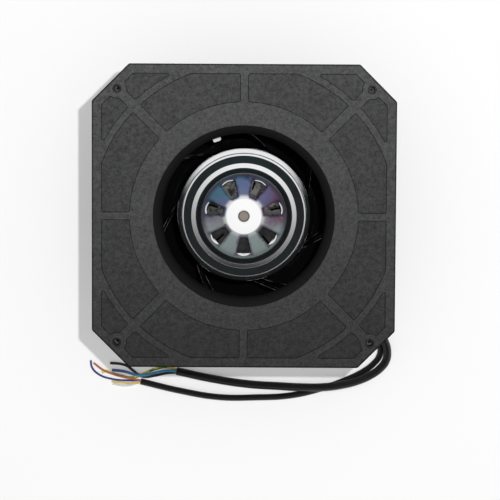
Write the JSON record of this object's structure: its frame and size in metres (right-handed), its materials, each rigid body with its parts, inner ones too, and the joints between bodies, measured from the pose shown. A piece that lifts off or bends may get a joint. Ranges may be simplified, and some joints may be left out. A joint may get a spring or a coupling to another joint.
{
  "type": "centrifugal fan",
  "caption": "Centrifugal fan with a square inlet plate and round nozzle, a backward-curved impeller round its motor, struts to a round housing, and two loose cables.",
  "frame": {"origin": "on the fan's axis, at the level of the struts' undersides, which it stands on", "axes": "+Z along the axis, out of the inlet; +X and +Y along the plate's sides; the cables leave the housing between +X and -Y"},
  "size_m": [0.2396, 0.2663, 0.112],
  "materials": {
    "grey_plastic": "fine moulded grain",
    "nozzle_plastic": "smooth satin moulding",
    "impeller_plastic": "glass-filled, faint flow marks",
    "insulation": "matt glass-filled moulding",
    "zinc_sheet": "zinc plated sheet",
    "cup_steel": "bright passivated zinc on drawn steel",
    "cast_aluminium": "die cast, lightly blasted",
    "ground_steel": "ground shaft steel",
    "bearing_steel": "ground and polished",
    "laminations": "stacked sheets, thin varnish",
    "copper": "enamelled wire",
    "magnet": "pressed ferrite, painted",
    "board": "solder mask",
    "capacitor_can": "sleeved cans",
    "chip": "moulded packages",
    "screw_steel": "zinc plated",
    "clip_steel": "bright spring steel",
    "seal_rubber": "soft moulded rubber",
    "pale_nylon": "natural nylon",
    "cable_sheath": "satin extruded sheath",
    "light_blue_insulation": "extruded insulation",
    "black_insulation": "extruded insulation",
    "earth_insulation": "extruded insulation with a second stripe",
    "red_insulation": "extruded insulation",
    "dark_blue_insulation": "extruded insulation",
    "yellow_insulation": "extruded insulation",
    "white_insulation": "extruded insulation"
  },
  "bodies": {
    "housing": {"inlet_plate": "grey_plastic", "inlet_nozzle": "nozzle_plastic", "strut_1": "zinc_sheet", "strut_2": "zinc_sheet", "strut_3": "zinc_sheet", "strut_4": "zinc_sheet", "electronics_housing": "cast_aluminium", "stator_flange": "cast_aluminium", "housing_gasket": "seal_rubber", "circuit_board": "board", "capacitors": "capacitor_can", "power_switches": "chip", "stator_core": "laminations", "insulator_front": "insulation", "insulator_rear": "insulation", "windings": "copper", "front_bearing_outer": "bearing_steel", "rear_bearing_outer": "bearing_steel", "bearing_balls": "bearing_steel", "wave_washer": "clip_steel", "plate_screws": "screw_steel", "strut_screws": "screw_steel", "flange_screws": "screw_steel", "cable_grommet": "seal_rubber", "cable_clip": "pale_nylon", "supply_cable": "cable_sheath", "control_cable": "cable_sheath", "blue_core": "light_blue_insulation", "black_core": "black_insulation", "earth_core": "earth_insulation", "red_core": "red_insulation", "dark_blue_core": "dark_blue_insulation", "yellow_core": "yellow_insulation", "white_core": "white_insulation"},
    "rotor": {"front_bearing_inner": "bearing_steel", "rear_bearing_inner": "bearing_steel", "retaining_ring": "clip_steel", "shaft": "ground_steel", "rotor_cup": "cup_steel", "magnet_ring": "magnet", "impeller_back": "impeller_plastic", "impeller_shroud": "impeller_plastic", "balance_clip": "clip_steel"}
  },
  "joints": [
    {"name": "rotor_spin", "type": "hinge", "parent": "housing", "child": "rotor", "pos_m": [0, 0, 0], "axis": [0, 0, 1], "continuous": true}
  ]
}
